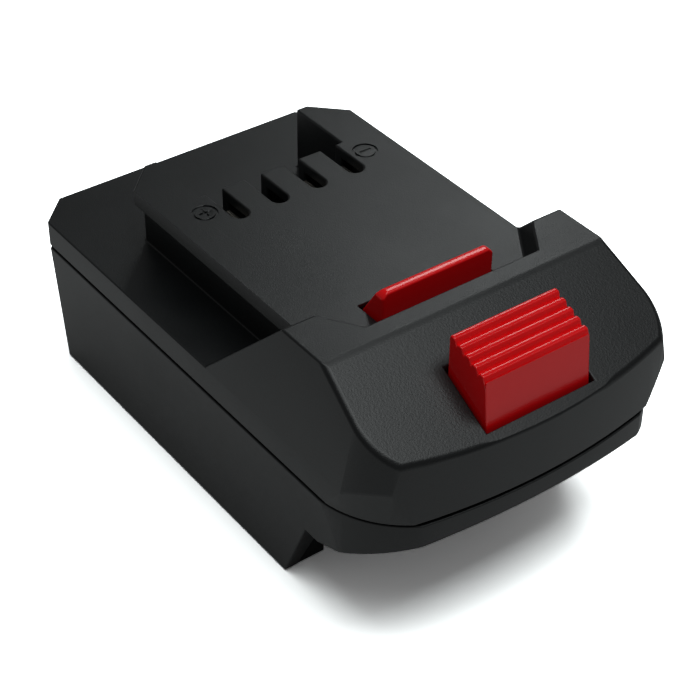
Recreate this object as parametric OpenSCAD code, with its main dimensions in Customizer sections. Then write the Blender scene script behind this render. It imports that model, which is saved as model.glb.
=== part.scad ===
// Slide-on battery adapter: a rail on top for the tool, a receiver underneath for the battery.
// Millimetres. X is the width, the nose points to -Y, Z is up and the skirts stand on Z = 0.
// A depth "d" is measured from the back face towards the nose, and yb(d) turns it into Y.

/* [Body] */
// Width over the two side walls
body_w = 71; // [69:1:76]
// Length from the back face to the tip of the nose
body_l = 117.4; // [116.4:0.5:122]
// Height of the line where the two housings meet
part_z = 31.7; // [31:0.1:32.4]
// Height of the side decks
deck_z = 37.3; // [36.8:0.1:38]
// Thickness of the housing walls
wall = 2.4; // [2:0.1:2.6]
// Plan chamfer on the two back corners
back_chamfer = 6.2; // [4:0.2:8]
// Plan radius of the two nose corners
nose_r = 20.2; // [19:0.2:21]
// Radius of the leaning nose corners above the deck
lean_r = 13; // [12:0.5:15]
// Lean of the nose corners outwards, from the parting line up
corner_lean = 13; // [8:1:15]
// Radius of the slight bow across the front face
nose_bow_r = 130; // [120:10:220]
// How far the side walls lean in from the parting line to the foot
skirt_draft = 3.2; // [2:0.1:3.4]

/* [Tool rail] */
// Height of the rail's top face
rail_z = 51.1; // [50.4:0.1:51.6]
// Width over the two rail flanges
rail_w = 51.7; // [50:0.1:53]
// Depth of the rail's back end
rail_d = 18.7; // [15:0.1:20]
// Plan chamfer on the rail's back corners
rail_chamfer = 6.4; // [4:0.1:7]
// Height of the overhanging flange
flange_h = 3.4; // [2.8:0.1:4]
// Depth of the groove under the flange
groove_w = 3; // [2:0.1:3.4]
// Width of the open pocket between the rails
pocket_w = 33.8; // [32:0.2:34.2]
// Depth of the pocket's end wall
pocket_d = 34.3; // [32:0.1:35]
// Width of a contact slot
slot_w = 3.6; // [3.2:0.1:4]
// Distance between contact slots
slot_pitch = 9; // [8.6:0.1:9.2]
// Depth of the slots' round front ends
slot_end_d = 45.2; // [44:0.1:46]

/* [Bridge and nose] */
// Height of the bridge's flat top
bridge_z = 55.9; // [55.4:0.1:57]
// Depth at which the back ramp leaves the deck
ramp_d = 64; // [62:0.2:66]
// Depth of the bridge's top back edge
bridge_d = 83.1; // [82.4:0.1:84]
// Depth at which the front slope starts
slope_d = 95.2; // [94.6:0.1:96.4]
// Height of the front face at the nose's tip
front_z = 43.9; // [43:0.1:45]
// Width over the two creases at the bridge's top
crease_w = 62.8; // [60:0.2:64]
// Depth of the recess's front wall
recess_d = 90.7; // [90:0.1:91.6]
// Width of the recess at the bridge's back edge
recess_w = 49; // [47:0.2:50]
// Plan angle of the recess's side walls
recess_turn = 56; // [52:0.5:60]
// Draft of the recess's side walls
recess_draft = 19; // [10:0.5:24]

/* [Latch] */
// Width of the latch bar
bar_w = 25; // [22:0.2:26]
// Thickness of the latch bar at its foot
bar_t = 6; // [5.4:0.1:6.4]
// Thickness of the latch bar's top edge, in front of its ramp
bar_top = 1.8; // [1.4:0.1:2.4]
// Depth of the latch bar's back face
bar_d = 80.5; // [80:0.1:80.8]
// Height of the latch bar's top at rest
bar_z = 56.9; // [56.4:0.1:57.6]
// Width of the release button
button_w = 23.2; // [20:0.2:24]
// Depth of the button's back face
button_d = 103.6; // [103.2:0.1:104]
// Length of the button's ribbed top
button_l = 9.7; // [9:0.1:10]
// Height of the button's back rib
button_z = 58.7; // [58:0.1:59.4]
// Fall of the button's top from the back rib to the front edge
button_fall = 4; // [3.4:0.1:4.6]
// Number of ribs across the button
button_ribs = 6; // [4:1:7]
// How far button and latch bar are pressed down
travel = 4.5; // [3:0.1:4.6]
// Gap around the latch bar and the button in their openings
latch_gap = 0.45; // [0.4:0.05:0.6]
// Outer diameter of a latch spring
spring_od = 6; // [5:0.2:7]
// Wire diameter of a latch spring
spring_wire = 0.8; // [0.6:0.1:1]

/* [Receiver] */
// Depth at which the skirts stop under the nose
skirt_d = 83.9; // [82:0.1:86]
// Height of the channel's ceiling
channel_z = 22.2; // [21.8:0.1:22.4]
// Inside width of the channel above the guide lips
channel_w = 53; // [51:0.2:55]
// Clear width between the two guide lips
lip_gap_w = 46.4; // [45.6:0.2:48]
// Height of the guide lips' upper face
lip_z = 12; // [10:0.2:14]
// How far the skirts' front edge comes forward on its way up
foot_run = 9.4; // [6:0.2:11]
// Thickness of the skirts' front edge
foot_t = 3; // [2.4:0.2:4]
// Height of the dark seam between the two housings
seam_h = 0.7; // [0.4:0.1:1]
// Depth of that seam
seam_d = 1; // [0.4:0.1:1.4]
// Height of the nose's lower edge at the skirts
chin_z = 18.6; // [18:0.1:19.4]
// Height of the nose's lower edge at the tip
chin_tip_z = 27; // [26.4:0.1:27.4]

/* [Electrics] */
// Thickness of the metal contacts
metal_t = 0.8; // [0.6:0.1:1]
// Distance between the receiver's blades
blade_pitch = 10; // [9:0.5:11]
// Thickness of the circuit board
board_t = 1.6; // [1.2:0.2:1.6]
// Radius of a power wire with its insulation
wire_r = 1.1; // [0.9:0.1:1.3]
// Radius of a sense wire with its insulation
sense_r = 0.7; // [0.6:0.1:0.8]
// Radius of a housing screw's shank
screw_r = 1.5; // [1.3:0.1:1.6]

/* [Hidden] */
$fn = 64;

eps = 0.01;
half_w = body_w / 2;
half_l = body_l / 2;

// Heights inside
plate_t = 2.2;
floor_z = channel_z + plate_t;
roof_z = deck_z - wall;
rail_roof_z = rail_z - plate_t;
recess_roof_z = rail_z - wall;

// Lean of the bridge's side walls, and of the ramp and the front slope
lean = atan((half_w - crease_w / 2) / (bridge_z - deck_z));
slope_k = (bridge_z - front_z) / (body_l - slope_d);
ramp_k = (bridge_z - deck_z) / (bridge_d - ramp_d);

// The nose corners stand out by this before the side walls cut them, so the faces cross
corner_bulge = 0.04;

// Polarity marks beside the outer slots
mark_x = 18.9;
mark_d = slot_end_d - 5.6;

// Contact slots, left to right
slot_x = [for (i = [0:3]) (i - 1.5) * slot_pitch];

// Screws
screw_head_r = 2.8;
screw_head_h = 1.9;
screw_len = 10;
screw_bite = 0.1;
screw_back_x = lip_gap_w / 2 - screw_head_r - 0.9;
screw_front_x = 22.5;
screw_back_d = 24;
screw_front_d = 99;
screw_spots = [
    [-screw_back_x, screw_back_d], [screw_back_x, screw_back_d],
    [-screw_front_x, screw_front_d], [screw_front_x, screw_front_d]
];
post_r = 4;
boss_r = 3.6;
boss_z = floor_z + 5.4;
front_roof_z = slope_at(screw_front_d + boss_r) - 1.8;
screw_roofs = [roof_z, roof_z, front_roof_z, front_roof_z];

// Latch carriage: a plate under the shell that carries the bar and the button
carriage_w = 30;
carriage_t = 2.6;
spring_solid = 6.7;
carriage_z = floor_z + travel + spring_solid;
carriage_d = bar_d - 2.2;
carriage_end_d = button_d + button_l;
carriage_step = 13;
stop_d = bar_d - 0.5;
stop_l = 7.7;
// How far the button's front face comes forward on its way down
button_foot = 1.2;
spring_x = 9;
spring_d = button_d - 7.3;
spring_post_r = spring_od / 2 - spring_wire - 0.3;
spring_post_h = 3;

// Contact block
block_w = 38;
block_d = pocket_d + wall + 0.4;
block_l = 14;
block_z = roof_z + 4;
block_t = 2;
cheek_t = 1.6;
contact_z = rail_roof_z - 0.8;
contact_d = block_d + 0.6;
contact_l = slot_end_d - contact_d;
contact_w = 2.8;
stem_w = 2;
stem_d = slot_end_d;
stem_foot_z = floor_z + 3.8;

// Receiver block
socket_w = 36;
socket_d = 5;
socket_l = 11;
socket_z = 8;
socket_flange = 2;
socket_flange_t = 2;
blade_out = 9;
blade_low_z = 11;
blade_h = 6;
riser_d = 9;
riser_l = 3;
riser_top_z = floor_z + 7.2;

// Circuit board and what stands on it
board_w = 36;
board_d = stem_d + 6.8;
board_l = 20;
board_z = floor_z + 2;
board_screw_r = 1;
board_screw_x = 14.5;
board_screw_d = [board_d + 3, board_d + 17];
board_post_r = 2.6;
board_head_r = 1.9;
board_head_h = 1.4;
cap_r = 4;
cap_h = 8;
cap_x = -6;
cap_d = board_d + 11.5;
fet_w = 10;
fet_h = 9;
fet_t = 4.4;
fet_x = 6;
fet_d = board_d + 14;
plug_w = 14;
plug_l = 4;
plug_h = 4.5;
plug_d = board_d + 1;

// Heights of the wires
wire_z = floor_z + 5.6;
plug_mid_z = board_z + board_t + plug_h / 2;

// Y of a depth measured from the back face
function yb(d) = half_l - d;

// Points of a side view, given as [depth, height], as [Y, Z]
function side(pts) = [for (p = pts) [yb(p[0]), p[1]]];

// Height of the front slope at a depth
function slope_at(d) = bridge_z - (d - slope_d) * slope_k;

// Height of the nose's underside at a depth
chin_flat = 13.1;
floor_end_d = skirt_d + chin_flat + 6.4;
function chin_at(d) = chin_z + (d - skirt_d - chin_flat) * (chin_tip_z - chin_z) / (body_l - skirt_d - chin_flat);

// Extrudes a side view along X, centred
module along_x(w) {
    rotate([90, 0, 90])
        linear_extrude(w, center = true)
            children();
}

// Extrudes a front view along Y over the whole length
module along_y(l = body_l + 20) {
    rotate([90, 0, 0])
        linear_extrude(l, center = true)
            children();
}

// A box by its X centre, depth, height and sizes
module block_at(x, d, z, w, l, h) {
    translate([x - w / 2, yb(d + l), z])
        cube([w, l, h]);
}

// Plan outline of the body, moved in by a distance
module plan(inset = 0) {
    w = half_w - inset;
    back = half_l - inset;
    front = -half_l + inset;
    r = nose_r - inset;
    c = back_chamfer - 0.6 * inset;
    intersection() {
        union() {
            polygon([
                [-w, front + r], [w, front + r], [w, back - c],
                [w - c, back], [-w + c, back], [-w, back - c]
            ]);
            translate([-w + r, front])
                square([2 * (w - r), 2 * r]);
            for (s = [-1, 1])
                translate([s * (w - r), front + r])
                    circle(r);
        }
        translate([0, -half_l + nose_bow_r])
            circle(nose_bow_r - inset, $fn = 256);
    }
}

// Front view of the side walls, from the foot to the bridge, moved in by a distance
module side_walls(inset = 0) {
    foot = half_w - skirt_draft - inset;
    w = half_w - inset;
    top = crease_w / 2 - inset / cos(lean);
    polygon([
        [-foot, 0], [foot, 0], [w, part_z], [w, deck_z], [top, bridge_z],
        [-top, bridge_z], [-w, deck_z], [-w, part_z]
    ]);
}

// Nose corners above the deck: leaning cylinders that meet the leaning side walls
module nose_corners(inset = 0) {
    r = lean_r - inset;
    x = half_w - lean_r / cos(lean) + corner_bulge;
    translate([-x, -half_l - 1, part_z - 5])
        cube([2 * x, body_l, 40]);
    translate([-half_w, -half_l + lean_r, part_z - 5])
        cube([body_w, body_l, 40]);
    for (s = [-1, 1])
        translate([s * x, -half_l + lean_r, deck_z])
            rotate([0, -s * lean, 0])
                cylinder(r = r, h = 60, center = true);
}

// Outer walls of the nose above the parting line: a bowed front between corners that lean out
module nose_hull(inset = 0) {
    x = half_w - nose_r;
    y = -half_l + nose_r;
    intersection() {
        union() {
            translate([-x, -half_l - 1, 0])
                cube([2 * x, body_l, 80]);
            translate([-half_w, y, 0])
                cube([body_w, body_l, 80]);
            for (s = [-1, 1])
                translate([s * x, y, part_z])
                    rotate([0, 0, -90 + s * 45])
                        rotate([0, corner_lean, 0])
                            cylinder(r = nose_r - inset + corner_bulge, h = 120, center = true);
        }
        translate([0, -half_l + nose_bow_r, 0])
            cylinder(r = nose_bow_r - inset, h = 80, $fn = 256);
    }
}

// Bridge and nose above the parting line, from a side view
module bridge(inset, view) {
    intersection() {
        along_y()
            side_walls(inset);
        along_x(body_w + 2)
            polygon(side(view));
        nose_corners(inset);
        nose_hull(inset);
    }
}

// Plan outline of the rail's flanges
module rail_plan(inset = 0) {
    w = rail_w / 2 - inset;
    c = rail_chamfer - 0.6 * inset;
    polygon([
        [-w, yb(bridge_d)], [w, yb(bridge_d)], [w, yb(rail_d + c)],
        [w - c, yb(rail_d)], [-w + c, yb(rail_d)], [-w, yb(rail_d + c)]
    ]);
}

// Space above the rail's level inside the bridge, where the latch bar stands
module recess() {
    intersection() {
        block_at(0, ramp_d, rail_z, body_w, recess_d - ramp_d, 20);
        recess_side();
        mirror([1, 0, 0])
            recess_side();
    }
}

// Everything on the inner side of the right recess wall
module recess_side() {
    translate([recess_w / 2, yb(bridge_d), bridge_z])
        rotate([0, 0, recess_turn])
            rotate([recess_draft, 0, 0])
                translate([-80, 0, -80])
                    cube(160);
}

// One contact slot with a round front end, open to the pocket
module slot(x) {
    r = slot_w / 2;
    translate([x, yb(slot_end_d - r), deck_z])
        cylinder(r = r, h = 20);
    block_at(x, pocket_d - 2, deck_z, slot_w, slot_end_d - r - pocket_d + 2, 20);
}

// Shallow polarity mark: a ring with a minus, or a plus, in it
module polarity_mark(x, d, plus) {
    r = 2.6;
    line = 0.55;
    deep = 0.3;
    translate([x, yb(d), rail_z - deep]) {
        difference() {
            cylinder(r = r, h = 2);
            translate([0, 0, -eps])
                cylinder(r = r - line, h = 3);
        }
        translate([-r / 2, -line / 2, 0])
            cube([r, line, 2]);
        if (plus)
            translate([-line / 2, -r / 2, 0])
                cube([line, r, 2]);
    }
}

// A screw that points up, with a domed head below and a cross recess in it
module screw(r, len, head_r, head_h) {
    difference() {
        union() {
            cylinder(r = r, h = len);
            translate([0, 0, -head_h])
                cylinder(r = head_r, h = head_h);
        }
        for (a = [0, 90])
            rotate(a)
                translate([-head_r * 0.6, -0.3, -head_h - eps])
                    cube([head_r * 1.2, 0.6, head_h * 0.6]);
    }
}

// A round wire through a list of points, with round bends
module wire(pts, r) {
    for (i = [0:len(pts) - 2]) {
        step = pts[i + 1] - pts[i];
        run = norm(step);
        translate(pts[i])
            rotate([0, acos(step[2] / run), atan2(step[1], step[0])])
                cylinder(r = r, h = run);
        if (i > 0)
            translate(pts[i])
                sphere(r = r * 1.06);
    }
}

// Upper housing: side band, decks, tool rail, bridge and nose
module upper_housing() {
    color("dimgray") {
        difference() {
            union() {
                intersection() {
                    translate([0, 0, part_z])
                        linear_extrude(deck_z - part_z)
                            plan();
                    block_at(0, -1, 0, body_w + 2, bridge_d + 1, bridge_z);
                }
                translate([0, 0, deck_z - 1])
                    linear_extrude(rail_z - deck_z + 1 - flange_h + eps)
                        rail_plan(groove_w);
                translate([0, 0, rail_z - flange_h])
                    linear_extrude(flange_h)
                        rail_plan();
                bridge(0, [
                    [ramp_d, part_z], [ramp_d, deck_z], [bridge_d, bridge_z],
                    [slope_d, bridge_z], [body_l, front_z], [body_l, part_z]
                ]);
            }
            recess();
            // Pocket for the tool's terminal block, and the contact slots
            block_at(0, -1, deck_z, pocket_w, pocket_d + 1, 20);
            for (x = slot_x)
                slot(x);
            polarity_mark(-mark_x, mark_d, true);
            polarity_mark(mark_x, mark_d, false);
            // Inside of the band, the rail and the bridge
            translate([0, 0, part_z - 1])
                linear_extrude(roof_z - part_z + 1)
                    plan(wall);
            block_at(0, pocket_d + wall, roof_z - 1, rail_w - 2 * (groove_w + plate_t),
                bridge_d - pocket_d - wall - 4, rail_roof_z - roof_z + 1);
            bridge(wall, [
                [ramp_d + 1, part_z - 1], [ramp_d + 1, roof_z],
                [ramp_d + 1 + (recess_roof_z - roof_z) / ramp_k, recess_roof_z],
                [recess_d + wall, recess_roof_z], [recess_d + wall, bridge_z - wall],
                [slope_d, bridge_z - wall], [body_l - wall, slope_at(body_l - wall) - wall],
                [body_l - wall, part_z - 1]
            ]);
            // Openings for the latch bar and the release button
            block_at(0, bar_d - latch_gap, recess_roof_z - 1, bar_w + 2 * latch_gap, bar_t + 2 * latch_gap, 6);
            block_at(0, button_d - latch_gap, part_z - 1, button_w + 2 * latch_gap,
                button_l + button_foot + 2 * latch_gap, bridge_z - part_z);
        }
        // Bosses that take the housing screws
        for (i = [0:3])
            translate([screw_spots[i][0], yb(screw_spots[i][1]), boss_z])
                difference() {
                    cylinder(r = boss_r, h = screw_roofs[i] - boss_z + 1);
                    translate([0, 0, -eps])
                        cylinder(r = screw_r - screw_bite, h = roof_z - boss_z - 0.4);
                }
    }
}

// Lower housing: skirts, receiver channel with its guide lips, and the chin under the nose
module lower_housing() {
    color("gray") {
        difference() {
            intersection() {
                along_y()
                    side_walls();
                union() {
                    linear_extrude(part_z - seam_h)
                        plan();
                    linear_extrude(part_z)
                        plan(seam_d);
                }
            }
            // Underside of the nose, with the skirts' front edges left standing
            along_x(body_w + 2)
                polygon(side([
                    [skirt_d, -1], [skirt_d, 0], [skirt_d + foot_run, chin_z], [skirt_d + chin_flat, chin_z],
                    [body_l + 1, chin_at(body_l + 1)], [body_l + 1, -1]
                ]));
            block_at(0, skirt_d, -1, body_w - 2 * (skirt_draft + foot_t), body_l, chin_z + 1);
            // Channel for the battery, with room behind the guide lips
            block_at(0, wall, -1, lip_gap_w, body_l, channel_z + 1);
            block_at(0, wall, lip_z, channel_w, body_l, channel_z - lip_z);
            // Inside
            intersection() {
                along_y()
                    side_walls(wall);
                linear_extrude(part_z + 1)
                    plan(wall);
                along_x(body_w + 2)
                    polygon(side([
                        [wall, floor_z], [floor_end_d, floor_z], [body_l - wall, chin_at(body_l - wall) + wall],
                        [body_l - wall, part_z + 1], [wall, part_z + 1]
                    ]));
            }
            // Opening for the receiver block
            block_at(0, socket_d, channel_z - 1, socket_w, socket_l, plate_t + 2);
            // Screw holes with sunk heads
            for (p = screw_spots)
                translate([p[0], yb(p[1]), 0]) {
                    cylinder(r = screw_head_r + 0.3, h = floor_z - 0.4);
                    cylinder(r = screw_r + 0.3, h = floor_z + 1);
                }
        }
        for (p = screw_spots)
            translate([p[0], yb(p[1]), 0])
                screw_post();
        for (s = [-1, 1])
            spring_post(s * spring_x);
        for (s = [-1, 1])
            block_at(s * (block_w / 2 - 2), block_d, floor_z - eps, 2, block_l, block_z - floor_z + eps);
        for (s = [-1, 1], d = board_screw_d)
            translate([s * board_screw_x, yb(d), floor_z - eps])
                board_post();
    }
}

// Post that a housing screw passes through, with a seat for its head
module screw_post() {
    seat = floor_z - 0.4;
    difference() {
        translate([0, 0, channel_z])
            cylinder(r = post_r, h = boss_z - channel_z);
        translate([0, 0, channel_z - 1])
            cylinder(r = screw_head_r + 0.3, h = seat - channel_z + 1);
        translate([0, 0, channel_z])
            cylinder(r = screw_r + 0.3, h = 20);
    }
}

// Peg that keeps a latch spring in place
module spring_post(x) {
    translate([x, yb(spring_d), floor_z - eps])
        cylinder(r = spring_post_r, h = spring_post_h);
}

// Post for one board screw
module board_post() {
    difference() {
        cylinder(r = board_post_r, h = board_z - floor_z + eps);
        translate([0, 0, 0.4])
            cylinder(r = board_screw_r - screw_bite, h = 10);
    }
}

// Four screws that hold the two housings together
module housing_screws() {
    color("silver")
        for (p = screw_spots)
            translate([p[0], yb(p[1]), floor_z - 0.4])
                screw(screw_r, screw_len, screw_head_r, screw_head_h);
}

// Latch bar with its carriage plate and the two stops under the rail's roof
module latch_bar() {
    cut = 1;
    color("red") {
        intersection() {
            along_x(bar_w)
                polygon(side([
                    [bar_d, carriage_z], [bar_d, rail_z - 0.8], [bar_d + bar_t - bar_top, bar_z],
                    [bar_d + bar_t, bar_z], [bar_d + bar_t, carriage_z]
                ]));
            along_y()
                polygon([
                    [-bar_w / 2, carriage_z], [bar_w / 2, carriage_z], [bar_w / 2, bar_z - cut],
                    [bar_w / 2 - cut, bar_z], [-bar_w / 2 + cut, bar_z], [-bar_w / 2, bar_z - cut]
                ]);
        }
        block_at(0, carriage_d, carriage_z, carriage_w, carriage_end_d - carriage_d - carriage_step, carriage_t);
        block_at(0, carriage_d, carriage_z, button_w, carriage_end_d - carriage_d, carriage_t);
        for (s = [-1, 1])
            block_at(s * (carriage_w / 2 - 1), stop_d, carriage_z, 2, stop_l, recess_roof_z - carriage_z);
    }
}

// Release button: a block with ribs stepping down to the front
module release_button() {
    pitch = button_l / (button_ribs - 1);
    fall = button_fall / (button_ribs - 1);
    deep = 0.75;
    ribs = [for (i = [0:button_ribs - 2], k = [0:2])
        [button_d + 0.3 + (i + [0.02, 0.56, 0.8][k]) * pitch,
         button_z - i * fall - [0, 0.12, fall * 0.8 + deep][k]]];
    color("red")
        along_x(button_w)
            polygon(side(concat(
                [[button_d, carriage_z + carriage_t], [button_d, button_z - 0.5]],
                ribs,
                [[button_d + button_l, button_z - button_fall],
                 [button_d + button_l + button_foot, front_z - 1.4],
                 [button_d + button_l + button_foot, carriage_z + carriage_t]]
            )));
}

// One latch spring, as a plain sleeve at the spring's size
module latch_spring(x) {
    color("silver")
        translate([x, yb(spring_d), floor_z])
            difference() {
                cylinder(r = spring_od / 2, h = carriage_z - floor_z);
                translate([0, 0, -1])
                    cylinder(r = spring_od / 2 - spring_wire, h = carriage_z);
            }
}

module latch_spring_left() {
    latch_spring(-spring_x);
}

module latch_spring_right() {
    latch_spring(spring_x);
}

// Block under the slots that carries the tool's contacts
module contact_block() {
    color("darkslategray")
        difference() {
            union() {
                block_at(0, block_d, block_z, block_w, block_l, block_t);
                for (s = [-1, 1])
                    block_at(s * (block_w - cheek_t) / 2, block_d, block_z, cheek_t, block_l, rail_roof_z - block_z);
            }
            for (i = [0:3])
                block_at(slot_x[i], stem_d, block_z - 1, stem_w, metal_t, block_t + 2);
        }
}

// Forked spring contact: two leaves that grip the tool's blade, and a stem down through the block
module tool_contact(x) {
    color("gold") {
        for (s = [-1, 1])
            block_at(x + s * (contact_w - metal_t) / 2, contact_d, block_z + block_t, metal_t,
                contact_l + metal_t, contact_z - block_z - block_t);
        block_at(x, stem_d - metal_t / 2, block_z + block_t, contact_w, metal_t, contact_z - block_z - block_t);
        block_at(x, stem_d, stem_foot_z, stem_w, metal_t, contact_z - stem_foot_z);
    }
}

module tool_contact_positive() {
    tool_contact(slot_x[0]);
}

module tool_contact_sense() {
    tool_contact(slot_x[2]);
}

module tool_contact_negative() {
    tool_contact(slot_x[3]);
}

// Block in the channel that carries the blades for the battery
module receiver_block() {
    color("darkslategray")
        difference() {
            union() {
                block_at(0, socket_d, socket_z, socket_w, socket_l, floor_z - socket_z);
                block_at(0, socket_d - socket_flange, floor_z, socket_w + 2 * socket_flange,
                    socket_l + 2 * socket_flange, socket_flange_t);
            }
            for (i = [-1, 0, 1])
                blade(i * blade_pitch);
        }
}

// Flat blade that points to the nose, with a riser up into the housing
module blade(x) {
    block_at(x, riser_d, blade_low_z, metal_t, socket_d + socket_l - riser_d + blade_out, blade_h);
    block_at(x, riser_d, blade_low_z, metal_t, riser_l, riser_top_z - blade_low_z);
}

module receiver_blade_positive() {
    color("gold")
        blade(-blade_pitch);
}

module receiver_blade_sense() {
    color("gold")
        blade(0);
}

module receiver_blade_negative() {
    color("gold")
        blade(blade_pitch);
}

// Circuit board on four posts
module circuit_board() {
    color("seagreen")
        difference() {
            block_at(0, board_d, board_z, board_w, board_l, board_t);
            for (s = [-1, 1], d = board_screw_d)
                translate([s * board_screw_x, yb(d), board_z - 1])
                    cylinder(r = board_screw_r + 0.15, h = board_t + 2);
        }
}

// Four small screws, heads up
module board_screws() {
    color("silver")
        for (s = [-1, 1], d = board_screw_d)
            translate([s * board_screw_x, yb(d), board_z + board_t])
                rotate([180, 0, 0])
                    screw(board_screw_r, board_t + 1.5, board_head_r, board_head_h);
}

// Round capacitor standing on the board
module board_capacitor() {
    color("midnightblue")
        translate([cap_x, yb(cap_d), board_z + board_t])
            cylinder(r = cap_r, h = cap_h);
}

// Flat power transistor standing on the board
module board_transistor() {
    color("black")
        block_at(fet_x, fet_d, board_z + board_t, fet_w, fet_t, fet_h);
}

// Socket on the board where the sense wires end
module board_connector() {
    color("white")
        block_at(0, plug_d, board_z + board_t, plug_w, plug_l, plug_h);
}

// Power wire from a blade's riser straight back to front, to a tool contact's stem
module power_wire() {
    start_d = riser_d + riser_l / 2;
    run_x = 1.5 * slot_pitch;
    wire([
        [blade_pitch + metal_t / 2, yb(start_d), wire_z],
        [run_x, yb(start_d), wire_z],
        [run_x, yb(stem_d), wire_z]
    ], wire_r);
}

module wire_positive() {
    color("firebrick")
        mirror([1, 0, 0])
            power_wire();
}

module wire_negative() {
    color("black")
        power_wire();
}

// Sense wire from the middle blade's riser to the socket on the board, below the empty slot
module wire_sense_battery() {
    start_d = riser_d + riser_l / 2;
    color("khaki")
        wire([
            [-metal_t / 2, yb(start_d), plug_mid_z],
            [slot_x[1], yb(start_d), plug_mid_z],
            [slot_x[1], yb(plug_d), plug_mid_z]
        ], sense_r);
}

// Sense wire from the tool's sense contact to the socket on the board
module wire_sense_tool() {
    color("khaki")
        wire([
            [slot_x[2], yb(stem_d + metal_t), plug_mid_z],
            [slot_x[2], yb(plug_d), plug_mid_z]
        ], sense_r);
}

upper_housing();
lower_housing();
housing_screws();
latch_bar();
release_button();
latch_spring_left();
latch_spring_right();
contact_block();
tool_contact_positive();
tool_contact_negative();
tool_contact_sense();
receiver_block();
receiver_blade_positive();
receiver_blade_negative();
receiver_blade_sense();
circuit_board();
board_screws();
board_capacitor();
board_transistor();
board_connector();
wire_positive();
wire_negative();
wire_sense_battery();
wire_sense_tool();
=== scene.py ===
"""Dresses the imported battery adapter: broken edges, coil springs, finishes and the studio.

Everything is in metres, in the CAD frame: +X across the width, -Y towards the nose, +Z up.
"""

import logging
import math
from dataclasses import dataclass, field
from enum import Enum
from typing import Any

import bpy
from mathutils import Matrix, Vector

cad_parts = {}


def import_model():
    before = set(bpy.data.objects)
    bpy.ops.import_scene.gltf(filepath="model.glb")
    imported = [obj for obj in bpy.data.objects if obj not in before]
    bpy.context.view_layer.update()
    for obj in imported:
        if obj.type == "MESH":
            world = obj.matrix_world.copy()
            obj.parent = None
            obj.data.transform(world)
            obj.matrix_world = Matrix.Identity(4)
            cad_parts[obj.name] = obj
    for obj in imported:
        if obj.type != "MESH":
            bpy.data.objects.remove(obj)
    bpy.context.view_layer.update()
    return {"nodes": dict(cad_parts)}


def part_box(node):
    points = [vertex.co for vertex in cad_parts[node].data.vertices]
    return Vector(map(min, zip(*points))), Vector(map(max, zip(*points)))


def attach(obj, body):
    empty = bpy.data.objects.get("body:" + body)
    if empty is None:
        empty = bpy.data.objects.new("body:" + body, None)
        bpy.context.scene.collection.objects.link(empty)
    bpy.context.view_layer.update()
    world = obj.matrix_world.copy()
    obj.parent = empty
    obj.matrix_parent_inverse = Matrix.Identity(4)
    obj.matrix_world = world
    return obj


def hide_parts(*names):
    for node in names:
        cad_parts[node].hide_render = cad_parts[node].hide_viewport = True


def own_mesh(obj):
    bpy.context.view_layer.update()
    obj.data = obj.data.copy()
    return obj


LOG = logging.getLogger("battery_adapter")
MM = 0.001
PHOTO_SIZE = 700
# Sockets of a colour mix node, whose names are shared with its other data types.
MIX_COLOUR_A, MIX_COLOUR_B, MIX_COLOUR_OUT = 6, 7, 2


class Body(Enum):
    """The two rigid bodies of the adapter."""

    HOUSING = "body"
    LATCH = "latch"


def linear(hex_colour: str) -> tuple[float, float, float, float]:
    """Turns an sRGB hex colour into linear light.

    Args:
        hex_colour: Six hex digits, with or without a leading hash.

    Returns:
        Linear red, green, blue and an alpha of one.
    """
    digits = hex_colour.lstrip("#")
    parts = [int(digits[i : i + 2], 16) / 255 for i in (0, 2, 4)]
    red, green, blue = (
        p / 12.92 if p <= 0.04045 else ((p + 0.055) / 1.055) ** 2.4 for p in parts
    )
    return red, green, blue, 1.0


def add_node(tree: Any, kind: str, links: dict[Any, Any] | None = None, **settings: Any) -> Any:
    """Adds one shader node, sets it up and links its inputs.

    Args:
        tree: The node tree to add to.
        kind: The node's type name.
        links: Input socket to what feeds it: an output socket, or a plain value.
        **settings: Attributes of the node itself.

    Returns:
        The new node.
    """
    node = tree.nodes.new(kind)
    for key, value in settings.items():
        setattr(node, key, value)
    for key, value in (links or {}).items():
        if isinstance(value, bpy.types.NodeSocket):
            tree.links.new(value, node.inputs[key])
        else:
            node.inputs[key].default_value = value
    return node


def ramp_stops(node: Any, stops: list[tuple[float, tuple[float, float, float, float]]]) -> None:
    """Sets the two end stops of a colour ramp.

    Args:
        node: A colour ramp node.
        stops: Position and colour of the low and the high stop.
    """
    for element, (place, colour) in zip(node.color_ramp.elements, stops):
        element.position = place
        element.color = colour


def cells_per_metre(size_mm: float) -> float:
    """Texture scale that makes one cell the given size in millimetres."""
    return 1.0 / (size_mm * MM)


@dataclass(frozen=True)
class Finish:
    """A finish: what the real material is and how its surface was made."""

    name: str
    colour: str
    roughness: float
    ior: float = 1.5

    def start(self) -> tuple[bpy.types.Material, Any, Any, Any]:
        """Makes the material with its shader and its Object coordinates.

        Returns:
            The material, its tree, its principled shader and the coordinate output.
        """
        material = bpy.data.materials.new(self.name)
        material.use_nodes = True
        tree = material.node_tree
        tree.nodes.clear()
        shader = add_node(tree, "ShaderNodeBsdfPrincipled")
        shader.inputs["Base Color"].default_value = linear(self.colour)
        shader.inputs["Roughness"].default_value = self.roughness
        shader.inputs["IOR"].default_value = self.ior
        out = add_node(tree, "ShaderNodeOutputMaterial")
        tree.links.new(shader.outputs["BSDF"], out.inputs["Surface"])
        where = add_node(tree, "ShaderNodeTexCoord").outputs["Object"]
        return material, tree, shader, where

    def build(self) -> bpy.types.Material:
        """Makes the plain material."""
        return self.start()[0]


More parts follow.
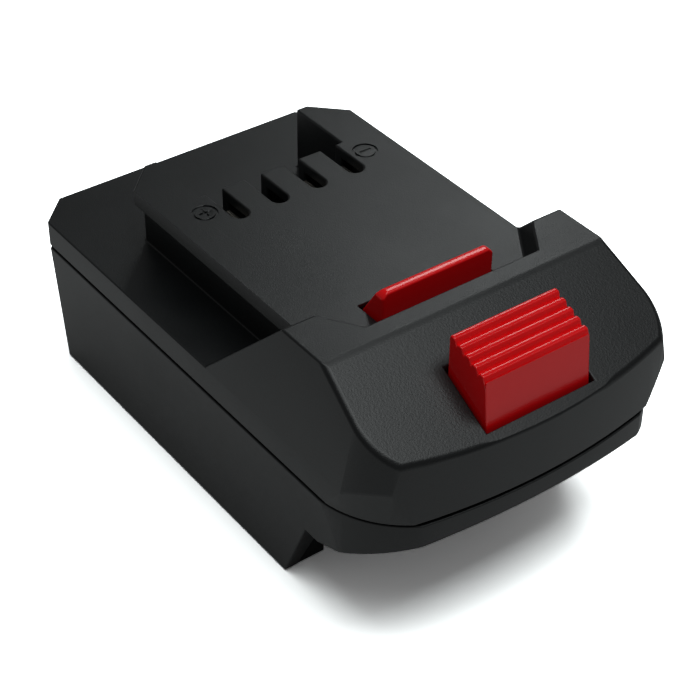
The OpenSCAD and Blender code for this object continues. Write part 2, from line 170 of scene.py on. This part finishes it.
@dataclass(frozen=True)
class MouldedPlastic(Finish):
    """Injection-moulded plastic with a spark-eroded grain and slight clouding.

    Attributes:
        worn_colour: Colour where the surface is handled most.
        grain_mm: Size of the mould grain.
        grain_depth_mm: Depth of the mould grain.
        cloud_mm: Size of the clouds.
        cloud_stops: Noise values between which the colour changes.
        cloud_gloss: Change of the roughness from the low to the high noise values.
    """

    worn_colour: str = "3a3f3e"
    grain_mm: float = 0.25
    grain_depth_mm: float = 0.02
    cloud_mm: float = 18.0
    cloud_stops: tuple[float, float] = (0.3, 0.8)
    cloud_gloss: tuple[float, float] = (-0.05, 0.06)

    def build(self) -> bpy.types.Material:
        """Makes the material.

        Returns:
            The finished material.
        """
        material, tree, shader, where = self.start()
        self.tint(tree, shader, where)
        fine = self.grain(tree, where)
        bump = add_node(
            tree,
            "ShaderNodeBump",
            {"Height": fine, "Strength": 1.0, "Distance": self.grain_depth_mm * MM},
        )
        tree.links.new(bump.outputs["Normal"], shader.inputs["Normal"])
        return material

    def tint(self, tree: Any, shader: Any, where: Any) -> None:
        """Clouds the colour and the roughness, as handled mouldings show.

        Args:
            tree: The material's node tree.
            shader: Its principled shader.
            where: The Object coordinate output.
        """
        cloud = add_node(
            tree,
            "ShaderNodeTexNoise",
            {"Vector": where, "Scale": cells_per_metre(self.cloud_mm), "Detail": 4.0},
        )
        colours = add_node(tree, "ShaderNodeValToRGB", {"Fac": cloud.outputs["Fac"]})
        ends = (linear(self.colour), linear(self.worn_colour))
        ramp_stops(colours, list(zip(self.cloud_stops, ends)))
        tree.links.new(colours.outputs["Color"], shader.inputs["Base Color"])
        gloss = add_node(
            tree,
            "ShaderNodeMapRange",
            {
                "Value": cloud.outputs["Fac"],
                "To Min": self.roughness + self.cloud_gloss[0],
                "To Max": self.roughness + self.cloud_gloss[1],
            },
        )
        tree.links.new(gloss.outputs["Result"], shader.inputs["Roughness"])

    def grain(self, tree: Any, where: Any) -> Any:
        """Adds the fine mould grain.

        Args:
            tree: The material's node tree.
            where: The Object coordinate output.

        Returns:
            The height output of the grain.
        """
        noise = add_node(
            tree,
            "ShaderNodeTexNoise",
            {"Vector": where, "Scale": cells_per_metre(self.grain_mm), "Detail": 2.0},
        )
        return noise.outputs["Fac"]


@dataclass(frozen=True)
class LeatherGrainPlastic(MouldedPlastic):
    """The same plastic, with a leather-like grain etched into the mould on the nose's slope.

    Attributes:
        leather_mm: Size of one cell of the leather grain.
        leather_depth_mm: Depth of the leather grain.
        slope_y_mm: Y at which the slope starts.
        slope_z_mm: Height at which it starts.
        slope_fall: Fall of the slope per length.
        skin_mm: Depth below the slope at which the grain has faded out.
        full_mm: Depth below the slope down to which the grain is whole.
        start_mm: Length over which the grain sets in at the slope's upper end.
    """

    leather_mm: float = 0.4
    leather_depth_mm: float = 0.016
    slope_y_mm: float = -36.5
    slope_z_mm: float = 55.9
    slope_fall: float = 0.5405
    skin_mm: float = 0.5
    full_mm: float = 0.05
    start_mm: float = 0.8

    def grain(self, tree: Any, where: Any) -> Any:
        """Adds the fine grain, and the leather grain on the slope.

        Args:
            tree: The material's node tree.
            where: The Object coordinate output.

        Returns:
            The height output of both grains.
        """
        fine = super().grain(tree, where)
        cells = add_node(
            tree,
            "ShaderNodeTexVoronoi",
            {"Vector": where, "Scale": cells_per_metre(self.leather_mm), "Randomness": 1.0},
            feature="SMOOTH_F1",
        )
        mask = self.slope_mask(tree, where)
        deep = add_node(
            tree,
            "ShaderNodeMath",
            {0: cells.outputs["Distance"], 1: self.leather_depth_mm / self.grain_depth_mm},
            operation="MULTIPLY",
        )
        masked = add_node(
            tree,
            "ShaderNodeMath",
            {0: deep.outputs[0], 1: mask},
            operation="MULTIPLY",
        )
        both = add_node(
            tree, "ShaderNodeMath", {0: masked.outputs[0], 1: fine}, operation="ADD"
        )
        return both.outputs[0]

    def slope_mask(self, tree: Any, where: Any) -> Any:
        """Picks out the slope's skin from the height above the slope's plane.

        Args:
            tree: The material's node tree.
            where: The Object coordinate output.

        Returns:
            One on the slope and zero elsewhere.
        """
        place = add_node(tree, "ShaderNodeSeparateXYZ", {"Vector": where})
        plane = add_node(
            tree,
            "ShaderNodeMath",
            {
                0: place.outputs["Y"],
                1: -self.slope_fall,
                2: (self.slope_y_mm * self.slope_fall - self.slope_z_mm) * MM,
            },
            operation="MULTIPLY_ADD",
        )
        above = add_node(
            tree,
            "ShaderNodeMath",
            {0: place.outputs["Z"], 1: plane.outputs[0]},
            operation="ADD",
        )
        skin = add_node(
            tree,
            "ShaderNodeMapRange",
            {
                "Value": above.outputs[0],
                "From Min": -self.skin_mm * MM,
                "From Max": -self.full_mm * MM,
            },
        )
        front = add_node(
            tree,
            "ShaderNodeMapRange",
            {
                "Value": place.outputs["Y"],
                "From Min": self.slope_y_mm * MM,
                "From Max": (self.slope_y_mm - self.start_mm) * MM,
            },
        )
        mask = add_node(
            tree,
            "ShaderNodeMath",
            {0: skin.outputs["Result"], 1: front.outputs["Result"]},
            operation="MULTIPLY",
        )
        return mask.outputs[0]


@dataclass(frozen=True)
class PlatedMetal(Finish):
    """Sheet or wire metal with a plated skin and fine drawing lines.

    Attributes:
        line_mm: Width of the drawing lines.
        stretch: Scale of the lines along Y, below one to draw them out.
        line_gloss: Change of the roughness from the low to the high noise values.
    """

    line_mm: float = 0.15
    stretch: float = 0.08
    line_gloss: tuple[float, float] = (-0.08, 0.1)

    def build(self) -> bpy.types.Material:
        """Makes the material.

        Returns:
            The finished material.
        """
        material, tree, shader, where = self.start()
        shader.inputs["Metallic"].default_value = 1.0
        drawn = add_node(
            tree, "ShaderNodeMapping", {"Vector": where, "Scale": (1.0, self.stretch, 1.0)}
        )
        lines = add_node(
            tree,
            "ShaderNodeTexNoise",
            {
                "Vector": drawn.outputs["Vector"],
                "Scale": cells_per_metre(self.line_mm),
                "Detail": 2.0,
            },
        )
        gloss = add_node(
            tree,
            "ShaderNodeMapRange",
            {
                "Value": lines.outputs["Fac"],
                "To Min": self.roughness + self.line_gloss[0],
                "To Max": self.roughness + self.line_gloss[1],
            },
        )
        tree.links.new(gloss.outputs["Result"], shader.inputs["Roughness"])
        return material


# Glass-filled nylon, moulded: charcoal black, half matt, with a leather grain on the nose's slope.
UPPER_NYLON = LeatherGrainPlastic("moulded_nylon_upper", "0f1112", 0.36, worn_colour="141617")
# The same nylon without the leather grain, for the lower housing: its colour is painted a little
# darker, as painted shade on the lower walls.
LOWER_NYLON_PAINTED_SHADE = MouldedPlastic("moulded_nylon_lower", "0d0f10", 0.42, worn_colour="121415")
# Acetal, moulded: a hard glossy red that slides well.
RED_ACETAL = MouldedPlastic(
    "moulded_acetal_red", "f00c12", 0.16, worn_colour="f5161c", grain_depth_mm=0.004, ior=1.48
)
# Glass-filled polyester, moulded: dark grey and matt, for the two contact carriers.
CARRIER_POLYESTER = MouldedPlastic("moulded_polyester_grey", "2c2d2f", 0.6, worn_colour="36383a")
# Tin-plated copper alloy, stamped: pale, bright and slightly streaked along the strip.
TINNED_COPPER = PlatedMetal("tinned_copper_alloy", "d6d2c8", 0.24)
# Zinc-plated steel, cold-headed: a cool grey sheen.
ZINC_STEEL = PlatedMetal("zinc_plated_steel", "b9bbbd", 0.32)
# Spring steel wire, drawn: darker grey with lines along the wire.
SPRING_STEEL = PlatedMetal("drawn_spring_steel", "8d8f92", 0.3)
# Solder mask over glass laminate: translucent green lacquer with a faint weave.
SOLDER_MASK = MouldedPlastic(
    "solder_mask_green", "0f4a26", 0.28, worn_colour="17602f", grain_mm=0.5, grain_depth_mm=0.01
)
# Heat-shrunk polyester sleeve on the capacitor: dark blue and glossy.
SHRINK_SLEEVE = MouldedPlastic(
    "shrink_sleeve_blue", "12182f", 0.25, worn_colour="1a2240", grain_depth_mm=0.004
)
# Epoxy moulding compound of the transistor: black and matt.
EPOXY_CASE = MouldedPlastic("moulded_epoxy_black", "161616", 0.62, worn_colour="1e1e1e")
# Unfilled nylon of the wire socket: off-white and waxy.
SOCKET_NYLON = MouldedPlastic("moulded_nylon_ivory", "dcd8cb", 0.45, worn_colour="e6e2d6")


@dataclass(frozen=True)
class Insulation(MouldedPlastic):
    """Extruded vinyl insulation: smooth along the wire, slightly clouded."""

    cloud_mm: float = 6.0
    grain_depth_mm: float = 0.006


RED_VINYL = Insulation("vinyl_insulation_red", "a5141a", 0.42, worn_colour="b51d22")
BLACK_VINYL = Insulation("vinyl_insulation_black", "141414", 0.42, worn_colour="1c1c1c")
YELLOW_VINYL = Insulation("vinyl_insulation_yellow", "d2ab2a", 0.42, worn_colour="dcb63a")


def only(obj: bpy.types.Object) -> None:
    """Selects one object alone and makes it active."""
    bpy.ops.object.select_all(action="DESELECT")
    obj.select_set(True)
    bpy.context.view_layer.objects.active = obj


def on_slope_rim(first: Vector, second: Vector, point: Vector) -> bool:
    """Tells whether an edge is on the outer rim of the front slope.

    Args:
        first: Normal of one face at the edge.
        second: Normal of the other face.
        point: Middle of the edge in millimetres.

    Returns:
        True on the rim, and false at the button's opening and in front of it.
    """
    slope = Vector((0.0, -LeatherGrainPlastic.slope_fall, 1.0)).normalized()
    beside_button_x, slope_top_z, parallel = 15.0, 55.5, 0.9995
    outside = abs(point.x) > beside_button_x or point.z > slope_top_z
    return outside and max(first.dot(slope), second.dot(slope)) > parallel


@dataclass
class Moulding:
    """A CAD node remade with broken edges, as every real moulding or stamping has.

    Attributes:
        node: The CAD node that the piece stands for.
        body: The body it rides on.
        slot: The record's material slot; not used.
        finish: Its finish.
        edge_mm: Width of the broken edge.
        sharp_deg: Edges that turn more than this are broken.
        smooth_deg: Edges that turn less than this are shaded as one curve.
        soft_upright_deg: Upright edges that turn less than this stay soft.
        round_mm: Width of the broader edge round the front slope, if the piece has one.
        plain: Boxes, as low and high corners in millimetres, whose edges stay sharp.
        merge_mm: Points of the CAD mesh closer than this become one.
        flat_deg: Faces that turn less than this become one.
        upright_rise: Rise per length from which an edge counts as upright.
        area_weight: How far the larger faces lead the shading, up to 100.
    """

    node: str
    body: Body
    slot: str
    finish: Finish
    edge_mm: float
    sharp_deg: float = 24.0
    smooth_deg: float = 34.0
    soft_upright_deg: float = 0.0
    round_mm: float = 0.0
    plain: list[tuple[Vector, Vector]] = field(default_factory=list)
    merge_mm: float = 0.002
    flat_deg: float = 0.4
    upright_rise: float = 0.7
    area_weight: int = 100

    def build(self, source: bpy.types.Object) -> bpy.types.Object:
        """Makes the piece from a copy of the node's mesh.

        Args:
            source: The CAD node.

        Returns:
            The finished piece.
        """
        piece = bpy.data.objects.new(f"{self.node}_moulding", source.data.copy())
        bpy.context.scene.collection.objects.link(piece)
        only(piece)
        self.join_flat_faces()
        self.weigh_edges(piece)
        self.break_edges(piece)
        piece.data.materials.clear()
        piece.data.materials.append(self.finish.build())
        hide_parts(self.node)
        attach(piece, self.body.value)
        return piece

    def join_flat_faces(self) -> None:
        """Joins the active piece's triangles into whole faces."""
        bpy.ops.object.mode_set(mode="EDIT")
        bpy.ops.mesh.select_all(action="SELECT")
        bpy.ops.mesh.remove_doubles(threshold=self.merge_mm * MM)
        bpy.ops.mesh.dissolve_limited(angle_limit=math.radians(self.flat_deg))
        bpy.ops.mesh.select_all(action="DESELECT")
        bpy.ops.object.mode_set(mode="OBJECT")

    def break_edges(self, piece: bpy.types.Object) -> None:
        """Breaks the marked edges and evens out the shading.

        Args:
            piece: The piece, active and in object mode.
        """
        edge = piece.modifiers.new("broken_edge", "BEVEL")
        edge.width = max(self.edge_mm, self.round_mm) * MM
        edge.segments = 4 if self.round_mm else 2
        edge.limit_method = "WEIGHT"
        edge.use_clamp_overlap = False
        bpy.ops.object.modifier_apply(modifier="broken_edge")
        bpy.ops.object.shade_smooth_by_angle(angle=math.radians(self.smooth_deg))
        even = piece.modifiers.new("even_shading", "WEIGHTED_NORMAL")
        even.keep_sharp = True
        even.weight = self.area_weight
        bpy.ops.object.modifier_apply(modifier="even_shading")

    def weigh_edges(self, piece: bpy.types.Object) -> None:
        """Weighs the edges to break: those that turn sharply and aren't in a plain box.

        Upright edges that turn little stay soft, and the slope's rim gets the broader edge.

        Args:
            piece: The piece, in object mode.
        """
        mesh = piece.data
        faces_of: dict[tuple[int, int], list[int]] = {}
        for face in mesh.polygons:
            for key in face.edge_keys:
                faces_of.setdefault(key, []).append(face.index)
        weights = mesh.attributes.new("bevel_weight_edge", "FLOAT", "EDGE")
        limit = math.cos(math.radians(self.sharp_deg))
        soft = math.cos(math.radians(self.soft_upright_deg))
        for edge in mesh.edges:
            pair = faces_of.get(edge.key, [])
            if len(pair) != 2:
                continue
            first, second = (mesh.polygons[i].normal for i in pair)
            low, high = (mesh.vertices[i].co for i in edge.vertices)
            upright = abs((high - low).normalized().z) > self.upright_rise
            if upright and first.dot(second) > soft:
                continue
            middle = (low + high) / 2 / MM
            if first.dot(second) < limit and not self.is_plain(middle):
                broad = self.round_mm and on_slope_rim(first, second, middle)
                width = self.round_mm if broad else self.edge_mm
                weights.data[edge.index].value = width / max(self.edge_mm, self.round_mm)

    def is_plain(self, point: Vector) -> bool:
        """Tells whether a point in millimetres lies in a plain box."""
        return any(
            all(low[i] <= point[i] <= high[i] for i in range(3)) for low, high in self.plain
        )


@dataclass
class CoilSpring:
    """A compression spring, wound as one tube.

    Attributes:
        node: The CAD sleeve that it stands for.
        turns: Number of turns.
        wire_mm: Wire diameter.
        pressed: Share of its height left when the latch is pressed; not used.
        wire_sides: Sides of the wire's section.
        turn_steps: Steps of one turn.
        inside: Share of the wire's radius that keeps the coil inside its sleeve.
        merge_mm: Points closer than this become one.
        smooth_deg: Edges that turn less than this are shaded as one curve.
    """

    node: str
    turns: int = 6
    wire_mm: float = 0.8
    pressed: float = 0.59
    wire_sides: int = 10
    turn_steps: int = 24
    inside: float = 0.98
    merge_mm: float = 0.001
    smooth_deg: float = 50.0

    def build(self) -> bpy.types.Object:
        """Winds the spring in its sleeve's place.

        Returns:
            The finished piece.
        """
        low, high = (Vector(corner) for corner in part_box(self.node))
        wire = self.wire_mm * MM
        coil_r = (high.x - low.x) / 2 - wire / 2
        rise = (high.z - low.z - wire) / self.turns
        bpy.ops.object.select_all(action="DESELECT")
        bpy.ops.mesh.primitive_circle_add(
            vertices=self.wire_sides,
            radius=wire / 2 * self.inside,
            fill_type="NGON",
            location=(coil_r, 0, wire / 2),
            rotation=(math.pi / 2, 0, 0),
        )
        piece = bpy.context.active_object
        piece.name = f"{self.node}_coil"
        bpy.ops.object.transform_apply(location=True, rotation=True, scale=True)
        bpy.ops.object.mode_set(mode="EDIT")
        bpy.ops.mesh.select_all(action="SELECT")
        bpy.ops.mesh.delete(type="ONLY_FACE")
        bpy.ops.object.mode_set(mode="OBJECT")
        wind = piece.modifiers.new("wind", "SCREW")
        wind.angle = 2 * math.pi
        wind.screw_offset = rise
        wind.iterations = self.turns
        wind.steps = wind.render_steps = self.turn_steps
        bpy.ops.object.modifier_apply(modifier="wind")
        bpy.ops.object.mode_set(mode="EDIT")
        bpy.ops.mesh.select_all(action="SELECT")
        bpy.ops.mesh.remove_doubles(threshold=self.merge_mm * MM)
        bpy.ops.mesh.fill_holes(sides=0)
        bpy.ops.mesh.normals_make_consistent(inside=False)
        bpy.ops.object.mode_set(mode="OBJECT")
        middle = (low + high) / 2
        piece.data.transform(Matrix.Translation((middle.x, middle.y, low.z)))
        bpy.ops.object.shade_smooth_by_angle(angle=math.radians(self.smooth_deg))
        piece.data.materials.append(SPRING_STEEL.build())
        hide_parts(self.node)
        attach(piece, Body.HOUSING.value)
        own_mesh(piece)
        return piece


@dataclass(frozen=True)
class Lamp:
    """A square soft lamp that points at the adapter.

    Attributes:
        name: Its name.
        place: Its place in metres.
        size: Its side in metres.
        watts: Its power.
        aim: The point in metres that it looks at.
    """

    name: str
    place: tuple[float, float, float]
    size: float
    watts: float
    aim: tuple[float, float, float] = (0.0, 0.0, 0.03)

    def build(self, colour: tuple[float, float, float]) -> None:
        """Adds the lamp to the scene.

        Args:
            colour: Colour of its light.
        """
        light = bpy.data.lights.new(self.name, "AREA")
        light.size = self.size
        light.energy = self.watts
        light.color = colour
        lamp = bpy.data.objects.new(self.name, light)
        bpy.context.scene.collection.objects.link(lamp)
        look = Vector(self.aim) - Vector(self.place)
        turn = look.to_track_quat("-Z", "Y").to_matrix().to_4x4()
        lamp.matrix_world = Matrix.Translation(self.place) @ turn


# A broad lamp from above, a small one that lights the rail, and one for the slope's sheen.
LAMPS = (
    Lamp("key_lamp", (0.0, -0.1, 1.0), 0.9, 4.5),
    Lamp("rail_lamp", (0.65, 0.66, 0.78), 0.22, 0.8),
    Lamp("slope_lamp", (0.25, -0.2, 0.85), 0.4, 0.75),
)


@dataclass
class Studio:
    """White paper floor, soft lamps and the camera at the photograph's angle.

    Attributes:
        azimuth_deg: Turn of the camera about +Z, from straight in front of the nose.
        elevation_deg: Height angle of the camera.
        roll_deg: Turn of the camera about its own axis.
        focal_px: Focal length in pixels of the photograph's frame.
        place_mm: Place of the camera.
        sensor_mm: Width of the camera's sensor.
        near_clip: Distance in metres from which the camera sees.
        light_colour: Colour of every lamp: slightly cool, as in the photograph.
        world_light: Strength of the world as light on the part.
        world_seen: Strength of the world where the camera sees it.
        floor_side: Side of the floor in metres.
        floor_gap_mm: Gap between the floor and the skirts' feet.
        floor_light: Grey of the floor as it throws light back at the part.
        floor_seen: Grey of the floor where the camera sees it: overexposed, as in the photograph.
        fibre_per_m: Texture scale of the paper's fibres.
        fibre_depth_mm: Depth of the paper's fibres.
    """

    azimuth_deg: float = -36.762
    elevation_deg: float = 38.065
    roll_deg: float = 0.501
    focal_px: float = 1868.6
    place_mm: tuple[float, float, float] = (-172.47, -232.61, 248.39)
    sensor_mm: float = 36.0
    near_clip: float = 0.01
    light_colour: tuple[float, float, float] = (0.95, 1.0, 1.0)
    world_light: float = 0.1
    world_seen: float = 1.0
    floor_side: float = 6.0
    floor_gap_mm: float = 0.2
    floor_light: float = 0.65
    floor_seen: float = 4.8
    fibre_per_m: float = 40.0
    fibre_depth_mm: float = 0.05

    def camera(self) -> None:
        """Sets up the camera from the fitted angles."""
        lens = bpy.data.cameras.new("photo_camera")
        lens.sensor_width = self.sensor_mm
        lens.lens = self.focal_px * self.sensor_mm / PHOTO_SIZE
        lens.clip_start = self.near_clip
        camera = bpy.data.objects.new("photo_camera", lens)
        bpy.context.scene.collection.objects.link(camera)
        turn, lift, roll = (
            math.radians(a) for a in (self.azimuth_deg, self.elevation_deg, self.roll_deg)
        )
        back = Vector(
            (math.sin(turn) * math.cos(lift), -math.cos(turn) * math.cos(lift), math.sin(lift))
        )
        right = Vector((math.cos(turn), math.sin(turn), 0.0))
        up = back.cross(right)
        across = math.cos(roll) * right + math.sin(roll) * up
        upward = math.cos(roll) * up - math.sin(roll) * right
        axes = Matrix((across, upward, back)).transposed().to_4x4()
        camera.matrix_world = Matrix.Translation(Vector(self.place_mm) * MM) @ axes
        bpy.context.scene.camera = camera

    def world(self) -> None:
        """Makes a plain world: white to the camera, soft grey as light."""
        world = bpy.data.worlds.new("studio")
        bpy.context.scene.world = world
        world.use_nodes = True
        tree = world.node_tree
        tree.nodes.clear()
        path = add_node(tree, "ShaderNodeLightPath")
        seen = add_node(
            tree,
            "ShaderNodeMapRange",
            {
                "Value": path.outputs["Is Camera Ray"],
                "To Min": self.world_light,
                "To Max": self.world_seen,
            },
        )
        sky = add_node(
            tree,
            "ShaderNodeBackground",
            {"Color": (1, 1, 1, 1), "Strength": seen.outputs["Result"]},
        )
        out = add_node(tree, "ShaderNodeOutputWorld")
        tree.links.new(sky.outputs["Background"], out.inputs["Surface"])

    def floor(self) -> None:
        """Lays the paper floor under the skirts: white to the camera, grey as light."""
        bpy.ops.object.select_all(action="DESELECT")
        bpy.ops.mesh.primitive_plane_add(
            size=self.floor_side, location=(0, 0, -self.floor_gap_mm * MM)
        )
        floor = bpy.context.active_object
        floor.name = "studio_floor"
        bpy.ops.object.transform_apply(location=True, rotation=True, scale=True)
        material, tree, shader, where = Finish("floor_paper_white", "f4f4f4", 0.8).start()
        path = add_node(tree, "ShaderNodeLightPath")
        fibre = add_node(tree, "ShaderNodeTexNoise", {"Vector": where, "Scale": self.fibre_per_m})
        bump = add_node(
            tree,
            "ShaderNodeBump",
            {"Height": fibre.outputs["Fac"], "Distance": self.fibre_depth_mm * MM},
        )
        tree.links.new(bump.outputs["Normal"], shader.inputs["Normal"])
        seen = path.outputs["Is Camera Ray"]
        paper = add_node(tree, "ShaderNodeMix", {"Factor": seen}, data_type="RGBA")
        for socket, grey in ((MIX_COLOUR_A, self.floor_light), (MIX_COLOUR_B, self.floor_seen)):
            paper.inputs[socket].default_value = (grey, grey, grey, 1.0)
        tree.links.new(paper.outputs[MIX_COLOUR_OUT], shader.inputs["Base Color"])
        floor.data.materials.append(material)

    def build(self) -> None:
        """Sets the whole studio up."""
        bpy.context.scene.view_settings.view_transform = "Standard"
        self.world()
        self.floor()
        for lamp in LAMPS:
            lamp.build(self.light_colour)
        self.camera()


def rail_marks() -> list[tuple[Vector, Vector]]:
    """Boxes around the two engraved polarity marks, whose fine edges stay sharp.

    Returns:
        Low and high corners in millimetres.
    """
    mark_x, mark_y, rail_z = 18.9, 19.1, 51.1
    half_side, half_height = 3.2, 0.6
    middles = [Vector((side * mark_x, mark_y, rail_z)) for side in (-1, 1)]
    reach = Vector((half_side, half_side, half_height))
    return [(middle - reach, middle + reach) for middle in middles]


def mouldings() -> list[Moulding]:
    """Lists the pieces that are CAD nodes with broken edges.

    Returns:
        The pieces: housings, latch, carriers, board, screws and contacts.
    """
    housing, latch = Body.HOUSING, Body.LATCH
    pieces = [
        Moulding(
            "upper_housing",
            housing,
            "upper_plastic",
            UPPER_NYLON,
            0.35,
            sharp_deg=16.0,
            smooth_deg=40.0,
            soft_upright_deg=40.0,
            round_mm=1.0,
            plain=rail_marks(),
        ),
        Moulding("lower_housing", housing, "lower_plastic", LOWER_NYLON_PAINTED_SHADE, 0.3),
        Moulding("latch_bar", latch, "latch_red", RED_ACETAL, 0.45),
        Moulding("release_button", latch, "latch_red", RED_ACETAL, 0.28),
        Moulding("contact_block", housing, "block_plastic", CARRIER_POLYESTER, 0.15),
        Moulding("receiver_block", housing, "block_plastic", CARRIER_POLYESTER, 0.25),
        Moulding("circuit_board", housing, "board_laminate", SOLDER_MASK, 0.1),
        Moulding("board_capacitor", housing, "capacitor_sleeve", SHRINK_SLEEVE, 0.4),
        Moulding("board_transistor", housing, "transistor_case", EPOXY_CASE, 0.25),
        Moulding("board_connector", housing, "socket_plastic", SOCKET_NYLON, 0.25),
        Moulding("housing_screws", housing, "screw_steel", ZINC_STEEL, 0.15),
        Moulding("board_screws", housing, "screw_steel", ZINC_STEEL, 0.1),
    ]
    for role in ("positive", "negative", "sense"):
        for kind in ("tool_contact", "receiver_blade"):
            name = f"{kind}_{role}"
            pieces.append(Moulding(name, housing, "contact_metal", TINNED_COPPER, 0.12))
    return pieces


def dress_wires(nodes: dict[str, bpy.types.Object]) -> None:
    """Gives the four wires their insulation.

    Args:
        nodes: The CAD nodes by name.
    """
    finishes = {
        "wire_positive": RED_VINYL,
        "wire_negative": BLACK_VINYL,
        "wire_sense_battery": YELLOW_VINYL,
        "wire_sense_tool": YELLOW_VINYL,
    }
    for name, finish in finishes.items():
        nodes[name].data.materials.clear()
        nodes[name].data.materials.append(finish.build())
        LOG.info("dressed %s", name)


def main() -> None:
    """Builds the adapter's looks in order and reports each piece."""
    logging.basicConfig(level=logging.INFO, format="%(name)s: %(message)s")
    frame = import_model()
    for moulding in mouldings():
        piece = moulding.build(frame["nodes"][moulding.node])
        LOG.info("%s: %d faces", piece.name, len(piece.data.polygons))
    for side in ("left", "right"):
        piece = CoilSpring(f"latch_spring_{side}").build()
        LOG.info("%s: %d faces", piece.name, len(piece.data.polygons))
    dress_wires(frame["nodes"])
    Studio().build()


if __name__ == "__main__":
    main()
